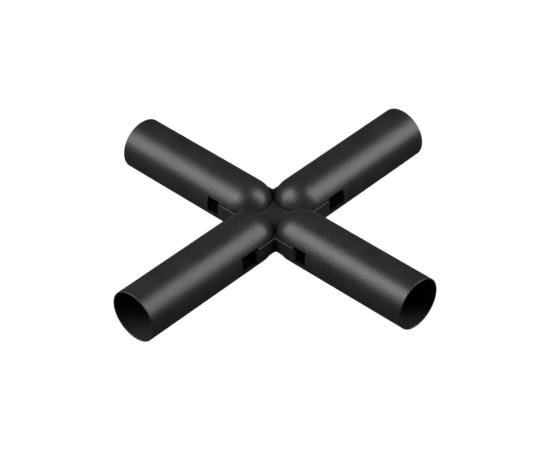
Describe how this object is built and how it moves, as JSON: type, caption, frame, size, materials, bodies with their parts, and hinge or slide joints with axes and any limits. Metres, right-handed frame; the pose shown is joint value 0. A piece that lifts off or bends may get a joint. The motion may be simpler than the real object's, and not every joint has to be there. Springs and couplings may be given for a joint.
{
  "type": "cross fitting",
  "caption": "Cross-shaped connector that joins round poles at right angles, with open tube sockets, domed necks, a flat hub web and side windows.",
  "frame": {"origin": "the point where the axes of the arms cross, in the middle of the hub", "axes": "+X along the right arm (the longer pair is right and left), +Y along the back arm, +Z square to both, out of the upper web"},
  "size_m": [0.2692, 0.26, 0.038],
  "materials": {
    "powder_coat": "black fine-textured satin powder coat over sheet steel",
    "coated_weld": "weld bead ground flush, under the same black powder coat"
  },
  "bodies": {
    "root": {"upper_hub_shell": "powder_coat", "lower_hub_shell": "powder_coat", "corner_bracket_back_right": "powder_coat", "corner_bracket_back_left": "powder_coat", "corner_bracket_front_left": "powder_coat", "corner_bracket_front_right": "powder_coat", "corner_welds_back_right": "coated_weld", "corner_welds_back_left": "coated_weld", "corner_welds_front_left": "coated_weld", "corner_welds_front_right": "coated_weld", "arm_sleeve_right": "powder_coat", "arm_sleeve_back": "powder_coat", "arm_sleeve_left": "powder_coat", "arm_sleeve_front": "powder_coat", "seam_weld_right": "coated_weld", "seam_weld_back": "coated_weld", "seam_weld_left": "coated_weld", "seam_weld_front": "coated_weld", "neck_weld_right": "coated_weld", "neck_weld_back": "coated_weld", "neck_weld_left": "coated_weld", "neck_weld_front": "coated_weld"}
  },
  "joints": []
}
